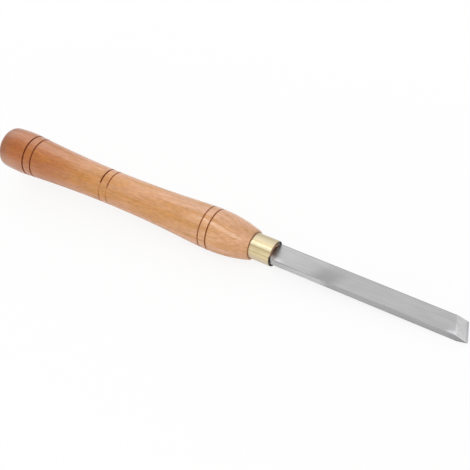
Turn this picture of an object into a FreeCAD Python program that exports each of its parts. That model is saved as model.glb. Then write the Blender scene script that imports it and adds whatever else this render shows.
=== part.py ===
import FreeCAD, Part
import math
import os
import Sketcher

# A woodturner's skew chisel. A flat steel blade, ground on both faces to a skewed cutting edge,
# has its tang glued into a turned beech handle, whose tenon carries a brass ferrule.
# Lengths are in millimetres and angles in degrees. +X runs along the tool to the cutting edge,
# +Z is square to the wide faces of the blade, and the origin is on the axis at the ferrule's
# mouth. Each piece is drawn from its own seat and then placed along X.

SIZES = [
    # Handle. Its seat is the shoulder that the ferrule stands against
    ("handle_length", 266.5, "shoulder to butt end"),
    ("butt_diameter", 38.6, "at the crest near the butt"),
    ("butt_crest_inset", 20.3, "crest back from the butt end"),
    ("butt_crown_radius", 126.0, "lengthwise curve over the butt crest"),
    ("butt_dome_radius", 120.0, "slight dome of the butt end"),
    ("butt_corner_radius", 6.0, "rounding between dome and side"),
    ("waist_diameter", 30.2, "at the thinnest place of the grip"),
    ("waist_station", 137.0, "thinnest place back from the shoulder"),
    ("bulge_diameter", 37.0, "at the crest of the front bulge"),
    ("bulge_station", 38.0, "bulge crest back from the shoulder"),
    ("bulge_rear_radius", 289.0, "lengthwise curve behind the bulge crest"),
    ("neck_step", 1.85, "how far the wood stands out over the ferrule"),
    ("neck_corner_radius", 0.9, "rounding of the wood beside the ferrule"),
    # Turned lines in three pairs, each a V cut that a wire then burned dark
    ("line_width", 1.2, "of each cut at the surface"),
    ("line_depth", 0.6, "of each cut below the surface"),
    ("butt_lines_inset", 35.7, "middle of the pair, from the butt end"),
    ("butt_lines_spacing", 8.3, "between the two lines of the pair"),
    ("waist_lines_offset", 9.8, "middle of the pair, behind the waist"),
    ("waist_lines_spacing", 7.7, "between the two lines of the pair"),
    ("bulge_lines_offset", 2.8, "middle of the pair, behind the bulge crest"),
    ("bulge_lines_spacing", 7.6, "between the two lines of the pair"),
    # Ferrule and the tenon inside it
    ("ferrule_diameter", 22.2, "outside"),
    ("ferrule_wall", 1.0, "tube wall"),
    ("ferrule_length", 20.0, "shoulder to mouth"),
    ("ferrule_edge_chamfer", 0.3, "broken edge outside at both ends and inside the mouth"),
    ("tenon_clearance", 0.05, "radial, wood to brass"),
    ("mouth_recess", 0.8, "tenon end inside the ferrule's mouth"),
    # Bore for the tang
    ("bore_diameter", 11.0, "drilled hole"),
    ("bore_mouth_chamfer", 0.6, "broken edge at the tenon end"),
    ("bore_spare_depth", 4.0, "full bore beyond the end of the tang"),
    ("drill_point_angle", 118.0, "included angle of the bore's bottom"),
    # Blade. Its seat is the shoulder that stands on the tenon end
    ("blade_reach", 170.5, "mouth of the ferrule to the long point"),
    ("bar_width", 19.05, "flat bar"),
    ("bar_thickness", 6.35, "flat bar"),
    ("arris_chamfer", 0.4, "broken edge round both wide faces"),
    ("skew_angle", 20.3, "cutting edge, off square to the blade"),
    ("bevel_run", 9.1, "each ground face, square to the edge"),
    ("honed_run", 1.4, "steeper honed strip, square to the edge"),
    ("honed_thickness", 1.5, "of the steel where the honed strips start"),
    ("shoulder_corner_radius", 3.0, "rounded corners beside the tang"),
    ("tang_length", 62.0, "below the shoulder"),
    ("tang_thickness", 5.0, "ground back from the bar's faces, so the shoulder goes all round"),
    ("tang_root_width", 8.0, "at the shoulder"),
    ("tang_end_width", 5.5, "at its end"),
    ("tang_root_radius", 0.8, "inside corner of tang and shoulder"),
    # Adhesive round the tang
    ("glue_clearance", 0.05, "shrinkage gap to wood and steel"),
    ("glue_recess", 1.2, "front of the adhesive below the tenon end"),
    # Spare length of cutting tools
    ("cutter_overrun", 5.0, "how far a cut runs past the stock"),
]

# Sketch constraints number the points of an edge from 1. The sketch's two axes count down from
# -1, and the edges taken from another sketch follow them. The origin is the X axis's start
START, END, CENTRE = range(1, 4)
X_AXIS, Y_AXIS, FIRST_TAKEN = range(-1, -4, -1)
ORIGIN = (X_AXIS, START)

doc = FreeCAD.newDocument("SkewChisel")
sheet = doc.addObject("Spreadsheet::Sheet", "Sizes")
for row, (name, number, note) in enumerate(SIZES, start=1):
    sheet.set(f"A{row}", name)
    sheet.set(f"B{row}", str(number))
    sheet.set(f"C{row}", note)
    sheet.setAlias(f"B{row}", name)
doc.recompute()


def worth(formula):
    """The number that a formula of named sizes gives."""
    return float(sheet.evalExpression(formula))


def new_body(label, seat):
    """A piece whose seat stands at the given place along X."""
    body = doc.addObject("PartDesign::Body", label)
    body.Label = label
    body.setExpression("Placement.Base.x", seat)
    return body


def new_sketch(body, name, plane):
    """A sketch on one of the body's own origin planes."""
    sketch = body.newObject("Sketcher::SketchObject", name)
    support = [part for part in body.Origin.OriginFeatures if part.Role == plane]
    sketch.AttachmentSupport = (support[0], [""])
    sketch.MapMode = "FlatFace"
    return sketch


def hold_size(sketch, constraint, formula):
    """Adds a measured constraint whose value follows a formula of named sizes."""
    index = sketch.addConstraint(constraint)
    sketch.setExpression(f"Constraints[{index}]", formula)


def hold_axis(sketch, kind, axis, point, formula):
    """Holds one coordinate of a point, measured from the sketch's origin."""
    number = worth(formula)
    if number == 0:
        sketch.addConstraint(Sketcher.Constraint("PointOnObject", *point, axis))
    elif number > 0:
        hold_size(sketch, Sketcher.Constraint(kind, *ORIGIN, *point, number), formula)
    else:
        hold_size(sketch, Sketcher.Constraint(kind, *point, *ORIGIN, -number), f"-({formula})")


def hold_point(sketch, point, across, up):
    """Holds both coordinates of a point."""
    hold_axis(sketch, "DistanceX", Y_AXIS, point, across)
    hold_axis(sketch, "DistanceY", X_AXIS, point, up)


def draw_outline(sketch, corners):
    """A closed outline of straight lines through corners given as pairs of formulas."""
    points = [FreeCAD.Vector(worth(across), worth(up), 0) for across, up in corners]
    lines = []
    for start, end in zip(points, points[1:] + points[:1]):
        lines.append(sketch.addGeometry(Part.LineSegment(start, end), False))
    for line, after in zip(lines, lines[1:] + lines[:1]):
        sketch.addConstraint(Sketcher.Constraint("Coincident", line, END, after, START))
    for line, (across, up) in zip(lines, corners):
        hold_point(sketch, (line, START), across, up)


def new_circle(middle, radius):
    """A circle in a sketch's plane, round a middle given as (across, up)."""
    return Part.Circle(FreeCAD.Vector(*middle, 0), FreeCAD.Vector(0, 0, 1), radius)


def upper_crossing(first, second):
    """The upper crossing, as (across, up), of two curves in a sketch's plane."""
    highest = max(first.intersectCC(second), key=lambda point: point.Y)
    return highest.X, highest.Y


def stretch(middle, point, extra):
    """The place that lies further from the middle than the point does, by the extra length."""
    share = 1 + extra / math.dist(middle, point)
    return tuple(centre + (place - centre) * share for centre, place in zip(middle, point))


def draw_arc(sketch, middle, start, end):
    """An arc drawn anticlockwise round its middle from start to end, all as (across, up)."""
    circle = new_circle(middle, math.dist(middle, start))
    first = math.atan2(start[1] - middle[1], start[0] - middle[0])
    last = math.atan2(end[1] - middle[1], end[0] - middle[0])
    return sketch.addGeometry(Part.ArcOfCircle(circle, first, last), False)


def new_feature(body, kind, name, sketch):
    """A feature made from a sketch, and the volume of the body before it."""
    before = body.Shape.Volume if body.Tip else 0
    feature = body.newObject(f"PartDesign::{kind}", name)
    feature.Profile = sketch
    return feature, before


def settle(feature, before):
    """Recomputes a new feature, and stops if a cut took nothing away or a pad added nothing."""
    doc.recompute()
    grown = feature.Shape.Volume - before
    if grown == 0 or (grown > 0) != feature.TypeId.endswith(("Pad", "Revolution")):
        raise RuntimeError(f"{feature.Label} changed the volume by {grown}")
    return feature


def turn(body, kind, name, sketch):
    """Revolves a sketch about the tool's axis, as a solid or as a cut."""
    feature, before = new_feature(body, kind, name, sketch)
    feature.ReferenceAxis = (sketch, ["H_Axis"])
    feature.Angle = 360
    return settle(feature, before)


def thicken(body, kind, name, sketch, formula, side="Symmetric"):
    """Pads or pockets a sketch, evenly to both sides of its plane unless told otherwise."""
    feature, before = new_feature(body, kind, name, sketch)
    feature.SideType = side
    feature.setExpression("Length", formula)
    return settle(feature, before)


def edge_near(feature, point):
    """The name of the feature's edge that passes nearest to a point given as three formulas."""
    place = Part.Vertex(FreeCAD.Vector(*[worth(formula) for formula in point]))
    gaps = [place.distToShape(edge)[0] for edge in feature.Shape.Edges]
    return f"Edge{gaps.index(min(gaps)) + 1}"


def ease_edges(body, kind, name, base, points, formula):
    """Fillets or chamfers the edges of the base feature that pass nearest to the points."""
    feature = body.newObject(f"PartDesign::{kind}", name)
    feature.Base = (base, [edge_near(base, point) for point in points])
    feature.setExpression({"Fillet": "Radius", "Chamfer": "Size"}[kind], formula)
    doc.recompute()
    return feature


def draw_handle_outline(sketch):
    """The turned outline: a dome, a butt crown, a long waist, a bulge and the stepped tenon."""
    butt_end = -worth("Sizes.handle_length")
    dome = worth("Sizes.butt_dome_radius")
    butt_crest = butt_end + worth("Sizes.butt_crest_inset")
    butt_radius = worth("Sizes.butt_diameter") / 2
    butt_crown = worth("Sizes.butt_crown_radius")
    waist = -worth("Sizes.waist_station")
    waist_radius = worth("Sizes.waist_diameter") / 2
    bulge = -worth("Sizes.bulge_station")
    bulge_radius = worth("Sizes.bulge_diameter") / 2
    bulge_rear = worth("Sizes.bulge_rear_radius")
    neck_radius = worth("Sizes.ferrule_diameter / 2 + Sizes.neck_step")
    tenon_radius = worth("Sizes.ferrule_diameter / 2 - Sizes.ferrule_wall - Sizes.tenon_clearance")
    tenon_end = worth("Sizes.ferrule_length - Sizes.mouth_recess")

    def hollow(crest, crest_radius, crown):
        """Where a crown leaves for the waist, and the middle of the waist arc that it meets."""
        span = abs(waist - crest)
        drop = crest_radius - waist_radius
        scoop = (span**2 + drop**2) / (2 * drop) - crown
        share = crown / (crown + scoop)
        meeting = (crest + (waist - crest) * share,
                   crest_radius - crown + math.sqrt(crown**2 - (span * share)**2))
        return meeting, (waist, waist_radius + scoop)

    rear_meeting, rear_scoop = hollow(butt_crest, butt_radius, butt_crown)
    front_meeting, front_scoop = hollow(bulge, bulge_radius, bulge_rear)
    nose_drop = bulge_radius - neck_radius
    nose = (bulge**2 + nose_drop**2) / (2 * nose_drop)
    corner = worth("Sizes.butt_corner_radius")
    dome_middle = (butt_end + dome, 0)
    crown_middle = (butt_crest, butt_radius - butt_crown)
    corner_middle = upper_crossing(new_circle(dome_middle, dome - corner),
                                   new_circle(crown_middle, butt_crown - corner))
    dome_rim = stretch(dome_middle, corner_middle, corner)
    crown_rim = stretch(crown_middle, corner_middle, corner)
    fold = worth("Sizes.neck_corner_radius")
    fold_line = Part.Line(FreeCAD.Vector(-fold, 0, 0), FreeCAD.Vector(-fold, neck_radius, 0))
    nose_middle = (bulge, bulge_radius - nose)
    fold_middle = upper_crossing(new_circle(nose_middle, nose - fold), fold_line)
    nose_rim = stretch(nose_middle, fold_middle, fold)
    neck_rim = (0, fold_middle[1])

    dome_arc = draw_arc(sketch, dome_middle, dome_rim, (butt_end, 0))
    butt_corner = draw_arc(sketch, corner_middle, crown_rim, dome_rim)
    crown_arc = draw_arc(sketch, crown_middle, rear_meeting, crown_rim)
    rear_arc = draw_arc(sketch, rear_scoop, rear_meeting, (waist, waist_radius))
    front_arc = draw_arc(sketch, front_scoop, (waist, waist_radius), front_meeting)
    bulge_middle = (bulge, bulge_radius - bulge_rear)
    bulge_arc = draw_arc(sketch, bulge_middle, (bulge, bulge_radius), front_meeting)
    nose_arc = draw_arc(sketch, nose_middle, nose_rim, (bulge, bulge_radius))
    neck_corner = draw_arc(sketch, fold_middle, neck_rim, nose_rim)
    steps = [neck_rim, (0, tenon_radius), (tenon_end, tenon_radius), (tenon_end, 0),
             (butt_end, 0)]
    step_lines = []
    for start, end in zip(steps, steps[1:]):
        line = Part.LineSegment(FreeCAD.Vector(*start, 0), FreeCAD.Vector(*end, 0))
        step_lines.append(sketch.addGeometry(line, False))
    shoulder, tenon_side, tenon_face, axis_line = step_lines

    def join(kind, *ends):
        sketch.addConstraint(Sketcher.Constraint(kind, *ends))

    join("Coincident", dome_arc, END, axis_line, END)
    join("Tangent", butt_corner, END, dome_arc, START)
    join("Tangent", crown_arc, END, butt_corner, START)
    join("Tangent", crown_arc, START, rear_arc, START)
    join("Tangent", rear_arc, END, front_arc, START)
    join("Tangent", front_arc, END, bulge_arc, END)
    join("Tangent", bulge_arc, START, nose_arc, END)
    join("Tangent", nose_arc, START, neck_corner, END)
    join("Tangent", neck_corner, START, shoulder, START)
    for line, after in zip(step_lines, step_lines[1:]):
        join("Coincident", line, END, after, START)

    hold_point(sketch, (dome_arc, END), "-Sizes.handle_length", "0")
    hold_point(sketch, (dome_arc, CENTRE), "Sizes.butt_dome_radius - Sizes.handle_length", "0")
    hold_point(sketch, (crown_arc, CENTRE), "Sizes.butt_crest_inset - Sizes.handle_length",
               "Sizes.butt_diameter / 2 - Sizes.butt_crown_radius")
    hold_size(sketch, Sketcher.Constraint("Radius", crown_arc, butt_crown),
              "Sizes.butt_crown_radius")
    hold_point(sketch, (rear_arc, END), "-Sizes.waist_station", "Sizes.waist_diameter / 2")
    hold_axis(sketch, "DistanceX", Y_AXIS, (rear_arc, CENTRE), "-Sizes.waist_station")
    hold_point(sketch, (bulge_arc, START), "-Sizes.bulge_station", "Sizes.bulge_diameter / 2")
    hold_axis(sketch, "DistanceX", Y_AXIS, (bulge_arc, CENTRE), "-Sizes.bulge_station")
    hold_size(sketch, Sketcher.Constraint("Radius", bulge_arc, bulge_rear),
              "Sizes.bulge_rear_radius")
    hold_size(sketch, Sketcher.Constraint("Radius", butt_corner, corner),
              "Sizes.butt_corner_radius")
    hold_size(sketch, Sketcher.Constraint("Radius", neck_corner, fold),
              "Sizes.neck_corner_radius")
    sharp_neck = sketch.addGeometry(Part.Point(FreeCAD.Vector(0, neck_radius, 0)), True)
    hold_point(sketch, (sharp_neck, START), "0", "Sizes.ferrule_diameter / 2 + Sizes.neck_step")
    join("PointOnObject", sharp_neck, START, nose_arc)
    hold_axis(sketch, "DistanceX", Y_AXIS, (shoulder, START), "0")
    tenon = "Sizes.ferrule_diameter / 2 - Sizes.ferrule_wall - Sizes.tenon_clearance"
    hold_point(sketch, (tenon_side, START), "0", tenon)
    hold_point(sketch, (tenon_side, END), "Sizes.ferrule_length - Sizes.mouth_recess", tenon)
    hold_point(sketch, (tenon_face, END), "Sizes.ferrule_length - Sizes.mouth_recess", "0")


def cut_line(sketch, station, edge):
    """One V cut at its station on an edge taken from the outline, run on past the surface."""
    arc = sketch.ExternalGeo[-1 - edge]
    across = worth(station)
    rise = math.sqrt(arc.Radius**2 - (across - arc.Center.x)**2)
    middle = FreeCAD.Vector(across, arc.Center.y + math.copysign(rise, -arc.Center.y), 0)
    width = FreeCAD.Vector(worth("Sizes.line_width"), 0, 0)
    depth = FreeCAD.Vector(0, worth("Sizes.line_depth"), 0)
    corners = [middle - depth, middle + width + depth, middle - width + depth]
    sides = []
    for start, end in zip(corners, corners[1:] + corners[:1]):
        sides.append(sketch.addGeometry(Part.LineSegment(start, end), False))
    for side, after in zip(sides, sides[1:] + sides[:1]):
        sketch.addConstraint(Sketcher.Constraint("Coincident", side, END, after, START))
    bottom, right, left = [(side, START) for side in sides]
    centre = (sketch.addGeometry(Part.Point(middle), True), START)
    hold_axis(sketch, "DistanceX", Y_AXIS, centre, station)
    sketch.addConstraint(Sketcher.Constraint("PointOnObject", *centre, edge))
    sketch.addConstraint(Sketcher.Constraint("Vertical", *bottom, *centre))
    sketch.addConstraint(Sketcher.Constraint("Horizontal", *left, *right))
    hold_size(sketch, Sketcher.Constraint("DistanceY", *bottom, *centre, depth.y),
              "Sizes.line_depth")
    hold_size(sketch, Sketcher.Constraint("DistanceY", *centre, *left, depth.y),
              "Sizes.line_depth")
    hold_size(sketch, Sketcher.Constraint("DistanceX", *left, *centre, width.x),
              "Sizes.line_width")
    hold_size(sketch, Sketcher.Constraint("DistanceX", *centre, *right, width.x),
              "Sizes.line_width")


def make_handle():
    """Beech, turned between centres, drilled for the tang, with three pairs of burned lines."""
    body = new_body("handle", "-Sizes.ferrule_length")
    outline = new_sketch(body, "HandleOutline", "XZ_Plane")
    draw_handle_outline(outline)
    doc.recompute()
    turn(body, "Revolution", "TurnedBlank", outline)

    lines = new_sketch(body, "TurnedLines", "XZ_Plane")
    butt_middle = "Sizes.butt_lines_inset - Sizes.handle_length"
    waist_middle = "-Sizes.waist_station - Sizes.waist_lines_offset"
    bulge_middle = "-Sizes.bulge_station - Sizes.bulge_lines_offset"
    stations = [
        f"{butt_middle} - Sizes.butt_lines_spacing / 2",
        f"{butt_middle} + Sizes.butt_lines_spacing / 2",
        f"{waist_middle} - Sizes.waist_lines_spacing / 2",
        f"{waist_middle} + Sizes.waist_lines_spacing / 2",
        f"{bulge_middle} - Sizes.bulge_lines_spacing / 2",
        f"{bulge_middle} + Sizes.bulge_lines_spacing / 2",
    ]
    followed = []
    for station in stations:
        name = edge_near(outline, (station, "0", "Sizes.butt_diameter / 2"))
        if name not in followed:
            lines.addExternal(outline.Name, name)
            followed.append(name)
        cut_line(lines, station, FIRST_TAKEN - followed.index(name))
    doc.recompute()
    turn(body, "Groove", "LineCuts", lines)

    bore = new_sketch(body, "BoreOutline", "XZ_Plane")
    mouth = "Sizes.ferrule_length - Sizes.mouth_recess"
    floor = f"{mouth} - Sizes.tang_length - Sizes.bore_spare_depth"
    point = "Sizes.bore_diameter / 2 / tan(Sizes.drill_point_angle * 1deg / 2)"
    draw_outline(bore, [
        (mouth, "0"),
        (mouth, "Sizes.bore_diameter / 2 + Sizes.bore_mouth_chamfer"),
        (f"{mouth} - Sizes.bore_mouth_chamfer", "Sizes.bore_diameter / 2"),
        (floor, "Sizes.bore_diameter / 2"),
        (f"{floor} - {point}", "0"),
    ])
    doc.recompute()
    turn(body, "Groove", "TangBore", bore)
    return body


def make_ferrule():
    """Brass tube pushed over the tenon until it stands against the handle's shoulder."""
    body = new_body("ferrule", "-Sizes.ferrule_length")
    ring = new_sketch(body, "TubeSection", "YZ_Plane")
    outside = "Sizes.ferrule_diameter"
    inside = "Sizes.ferrule_diameter - 2 * Sizes.ferrule_wall"
    for diameter in (outside, inside):
        width = worth(diameter)
        circle = ring.addGeometry(new_circle((0, 0), width / 2), False)
        ring.addConstraint(Sketcher.Constraint("Coincident", circle, CENTRE, *ORIGIN))
        hold_size(ring, Sketcher.Constraint("Diameter", circle, width), diameter)
    doc.recompute()
    tube = thicken(body, "Pad", "Tube", ring, "Sizes.ferrule_length", "One side")
    outer = "Sizes.ferrule_diameter / 2"
    edges = [("0", "0", outer), ("Sizes.ferrule_length", "0", outer),
             ("Sizes.ferrule_length", "0", f"{outer} - Sizes.ferrule_wall")]
    ease_edges(body, "Chamfer", "BrokenEdges", tube, edges, "Sizes.ferrule_edge_chamfer")
    return body


def make_blade():
    """Flat bar with a tang at one end and a skewed edge, ground on both faces, at the other."""
    body = new_body("blade", "-Sizes.mouth_recess")
    plan = new_sketch(body, "BarPlan", "XY_Plane")
    reach = "Sizes.blade_reach + Sizes.mouth_recess"
    side = "Sizes.bar_width / 2"
    root = "Sizes.tang_root_width / 2"
    tip = "Sizes.tang_end_width / 2"
    draw_outline(plan, [
        (reach, f"-{side}"), (reach, side), ("0", side), ("0", root),
        ("-Sizes.tang_length", tip), ("-Sizes.tang_length", f"-{tip}"),
        ("0", f"-{root}"), ("0", f"-{side}"),
    ])
    doc.recompute()
    thicken(body, "Pad", "Bar", plan, "Sizes.bar_thickness")

    thinning = new_sketch(body, "TangFaces", "XZ_Plane")
    half = "Sizes.bar_thickness / 2"
    face = "Sizes.tang_thickness / 2"
    past = f"({half} + Sizes.cutter_overrun)"
    behind = "-Sizes.tang_length - Sizes.cutter_overrun"
    draw_outline(thinning, [("0", face), ("0", past), (behind, past), (behind, face)])
    draw_outline(thinning, [("0", f"-{face}"), (behind, f"-{face}"), (behind, f"-{past}"),
                            ("0", f"-{past}")])
    doc.recompute()
    thinned = thicken(body, "Pocket", "TangThinning", thinning, "Sizes.bar_width")

    corners = [("0", side, "0"), ("0", f"-{side}", "0")]
    cornered = ease_edges(body, "Fillet", "ShoulderCorners", thinned, corners,
                          "Sizes.shoulder_corner_radius")
    roots = [("0", root, "0"), ("0", f"-{root}", "0")]
    rooted = ease_edges(body, "Fillet", "TangRoots", cornered, roots, "Sizes.tang_root_radius")
    middle = "Sizes.blade_reach / 2"
    arrises = [(middle, y, z) for y in (side, f"-{side}") for z in (half, f"-{half}")]
    ease_edges(body, "Chamfer", "Arrises", rooted, arrises, "Sizes.arris_chamfer")

    # The grinding sketch stands square to the cutting edge, with its origin at the edge's middle
    grind = new_sketch(body, "GroundFaces", "XZ_Plane")
    grind.AttachmentOffset = FreeCAD.Placement(
        FreeCAD.Vector(0, 0, 0), FreeCAD.Rotation(FreeCAD.Vector(0, 1, 0), 0))
    slant = "tan(Sizes.skew_angle * 1deg)"
    grind.setExpression("AttachmentOffset.Base.x", f"{reach} - {side} * {slant}")
    grind.setExpression("AttachmentOffset.Rotation.Angle", "Sizes.skew_angle")
    honed = "Sizes.honed_thickness / 2"
    ahead = "Sizes.bar_width * sin(Sizes.skew_angle * 1deg) + Sizes.cutter_overrun"
    draw_outline(grind, [
        ("0", "0"), ("-Sizes.honed_run", honed), ("-Sizes.bevel_run", half),
        ("-Sizes.bevel_run", past), (ahead, past), (ahead, f"-{past}"),
        ("-Sizes.bevel_run", f"-{past}"), ("-Sizes.bevel_run", f"-{half}"),
        ("-Sizes.honed_run", f"-{honed}"),
    ])
    doc.recompute()
    across = "2 * (Sizes.bar_width / cos(Sizes.skew_angle * 1deg) + Sizes.cutter_overrun)"
    thicken(body, "Pocket", "Grinding", grind, across)
    return body


def make_tang_adhesive():
    """Cured adhesive that fills the round bore about the flat tang."""
    body = new_body("tang_adhesive", "-Sizes.mouth_recess - Sizes.glue_recess")
    plug = new_sketch(body, "PlugOutline", "XZ_Plane")
    radius = "(Sizes.bore_diameter / 2 - Sizes.glue_clearance)"
    floor = "(Sizes.glue_recess - Sizes.tang_length - Sizes.bore_spare_depth)"
    point = f"{radius} / tan(Sizes.drill_point_angle * 1deg / 2)"
    draw_outline(plug, [("0", "0"), ("0", radius), (floor, radius), (f"{floor} - {point}", "0")])
    doc.recompute()
    turn(body, "Revolution", "Plug", plug)

    slot = new_sketch(body, "TangSlot", "XY_Plane")
    taper = "(Sizes.tang_root_width - Sizes.tang_end_width) / 2 / Sizes.tang_length"
    gap = "Sizes.glue_clearance"
    front = f"Sizes.tang_root_width / 2 - {taper} * Sizes.glue_recess + {gap}"
    back = f"Sizes.tang_end_width / 2 + {gap}"
    deep = f"Sizes.glue_recess - Sizes.tang_length - {gap}"
    draw_outline(slot, [("0", f"-({front})"), ("0", front), (deep, back), (deep, f"-({back})")])
    doc.recompute()
    thicken(body, "Pocket", "TangSpace", slot, f"Sizes.tang_thickness + 2 * {gap}")
    return body


pieces = [make_handle(), make_ferrule(), make_blade(), make_tang_adhesive()]
doc.recompute()

for item in doc.Objects:
    if "Invalid" in item.State or "Error" in item.State:
        raise RuntimeError(f"{item.Label} failed: {item.State}")
for body in pieces:
    if body.Shape.isNull() or not body.Shape.isValid() or len(body.Shape.Solids) != 1:
        raise RuntimeError(f"{body.Label} is not one valid solid")

os.makedirs("parts", exist_ok=True)
for body in pieces:
    body.Shape.exportStep(f"parts/{body.Label}.step")
    box = body.Shape.optimalBoundingBox()
    print(f"{body.Label}: {body.Shape.Volume:.1f} cubic mm, x {box.XMin:.2f} to {box.XMax:.2f}, "
          f"y {box.YMin:.2f} to {box.YMax:.2f}, z {box.ZMin:.2f} to {box.ZMax:.2f}")
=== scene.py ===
import math

import bpy
from mathutils import Matrix, Vector


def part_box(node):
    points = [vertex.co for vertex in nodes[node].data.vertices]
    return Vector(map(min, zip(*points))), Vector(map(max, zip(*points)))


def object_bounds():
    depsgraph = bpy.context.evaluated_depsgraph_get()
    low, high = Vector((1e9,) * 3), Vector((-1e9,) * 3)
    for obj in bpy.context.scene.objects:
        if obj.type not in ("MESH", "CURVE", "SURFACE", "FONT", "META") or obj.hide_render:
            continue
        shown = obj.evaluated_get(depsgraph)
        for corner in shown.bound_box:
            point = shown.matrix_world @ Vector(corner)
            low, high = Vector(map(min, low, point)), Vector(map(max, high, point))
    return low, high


# A woodturner's skew chisel on a pale floor. The solids come from the frame, and this script gives
# them their finishes: lacquered beech, drawn brass tube, ground steel and cured adhesive.
#
# Places in the frame are in metres. Inside the finishes they are in millimetres: along the tool
# from the ferrule's mouth to the cutting edge, across it to the far side, and up. Angles are in
# degrees round the tool's axis, from the top toward the near side, which the photograph shows.
#
# Many of the named values are ranges for Nodes.ease. A range of two numbers says where a share
# grows from 0 to 1. In one of four numbers, it goes from the third to the fourth instead.

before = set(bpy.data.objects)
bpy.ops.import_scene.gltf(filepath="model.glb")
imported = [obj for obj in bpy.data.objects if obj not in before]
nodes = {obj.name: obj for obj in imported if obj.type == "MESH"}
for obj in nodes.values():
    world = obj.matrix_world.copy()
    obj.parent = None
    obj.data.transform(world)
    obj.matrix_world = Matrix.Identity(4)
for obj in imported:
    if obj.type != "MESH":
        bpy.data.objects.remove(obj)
cad_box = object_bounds()

MM = 0.001

# Places along the tool, and sizes across it
BUTT_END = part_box("handle")[0].x / MM
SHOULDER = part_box("ferrule")[0].x / MM
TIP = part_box("blade")[1].x / MM
TUBE_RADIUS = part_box("ferrule")[1].y / MM
BLADE_HALF_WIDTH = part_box("blade")[1].y / MM

# The ferrule's mouth is painted lit about this angle, and painted in shade elsewhere
MOUTH_LIT_ANGLE = 15


def linear(red, green, blue):
    """A colour given as 0 to 255 display values, as linear light."""
    shares = [value / 255 for value in (red, green, blue)]
    return tuple(v / 12.92 if v <= 0.04045 else ((v + 0.055) / 1.055) ** 2.4 for v in shares)


class Nodes:
    """A node tree, and short ways to add to it."""

    def __init__(self, tree):
        self.tree = tree

    def feed(self, socket, value):
        """Links a socket to another, or gives it a number or a colour."""
        if isinstance(value, bpy.types.NodeSocket):
            self.tree.links.new(value, socket)
        elif socket.type == "RGBA" and len(value) == 3:
            socket.default_value = (*value, 1)
        else:
            socket.default_value = value

    def add(self, kind, inputs, **settings):
        """A node of that kind with its settings, and its inputs by name or place."""
        node = self.tree.nodes.new(kind)
        for name, value in settings.items():
            setattr(node, name, value)
        for place, value in inputs.items():
            self.feed(node.inputs[place], value)
        return node

    def sum(self, operation, first, second=0.0, third=0.0):
        """One step of arithmetic."""
        node = self.add("ShaderNodeMath", {0: first, 1: second, 2: third}, operation=operation)
        return node.outputs[0]

    def times(self, first, *others):
        """The product of two numbers or more."""
        for other in others:
            first = self.sum("MULTIPLY", first, other)
        return first

    def off(self, value, middle):
        """How far a value is from the middle one, either way."""
        return self.sum("ABSOLUTE", self.sum("SUBTRACT", value, middle))

    def diagonal(self, first, second):
        """The diagonal of a rectangle with those sides."""
        square = self.sum("MULTIPLY_ADD", first, first, self.times(second, second))
        return self.sum("SQRT", square)

    def ease(self, value, low, high, start=0.0, end=1.0):
        """Goes smoothly from start to end while the value goes from low to high."""
        node = self.add("ShaderNodeMapRange", {"Value": value, "From Min": low, "From Max": high,
                                               "To Min": start, "To Max": end},
                        interpolation_type="SMOOTHSTEP")
        return node.outputs["Result"]

    def parts(self, vector):
        """The three parts of a vector."""
        return tuple(self.add("ShaderNodeSeparateXYZ", {0: vector}).outputs)

    def join(self, first, second, third=0.0):
        """A vector of three parts."""
        return self.add("ShaderNodeCombineXYZ", {0: first, 1: second, 2: third}).outputs[0]

    def vector(self, operation, first, second):
        """One step of vector arithmetic."""
        node = self.add("ShaderNodeVectorMath", {0: first, 1: second}, operation=operation)
        return node.outputs["Vector"]

    def length(self, vector):
        """The length of a vector."""
        node = self.add("ShaderNodeVectorMath", {0: vector}, operation="LENGTH")
        return node.outputs["Value"]

    def seen(self):
        """Two switches: 1 for what the camera sees, straight or mirrored, and 1 for mirrored."""
        path = self.add("ShaderNodeLightPath", {}).outputs
        mirrored = self.sum("MAXIMUM", path["Is Glossy Ray"], path["Is Transmission Ray"])
        return self.sum("MAXIMUM", mirrored, path["Is Camera Ray"]), mirrored


class Paint(Nodes):
    """A material, and what its patterns are made of."""

    def __init__(self, name):
        self.material = bpy.data.materials.new(name)
        self.material.use_nodes = True
        super().__init__(self.material.node_tree)
        self.shader = self.tree.nodes["Principled BSDF"]

    def finish(self, **inputs):
        """Feeds the shader, whose sockets are named with _ for a space."""
        for name, value in inputs.items():
            self.feed(self.shader.inputs[name.replace("_", " ")], value)
        return self.material

    def noise(self, place, size, detail=2.0, roughness=0.5):
        """Cloudy noise from 0 to 1, with features of that size in each direction."""
        scaled = self.vector("DIVIDE", place, size)
        return self.add("ShaderNodeTexNoise", {"Vector": scaled, "Scale": 1.0, "Detail": detail,
                                               "Roughness": roughness}).outputs["Fac"]

    def cells(self, place, size):
        """Uneven cells of that size: the Distance from a cell's middle, and the cell's Color."""
        scaled = self.vector("DIVIDE", place, size)
        return self.add("ShaderNodeTexVoronoi", {"Vector": scaled, "Scale": 1.0}).outputs

    def mix(self, share, first, second, blend="MIX"):
        """Mixes two colours."""
        node = self.add("ShaderNodeMix", {"Factor": share}, data_type="RGBA", blend_type=blend)
        self.feed(node.inputs[6], first)
        self.feed(node.inputs[7], second)
        return node.outputs[2]

    def shade(self, colour, level):
        """The colour times a grey level."""
        return self.mix(1.0, colour, self.join(level, level, level), blend="MULTIPLY")

    def bump(self, height, depth, strength):
        """A bump of that depth in millimetres."""
        return self.add("ShaderNodeBump", {"Height": height, "Distance": depth * MM,
                                           "Strength": strength}).outputs["Normal"]


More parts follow.
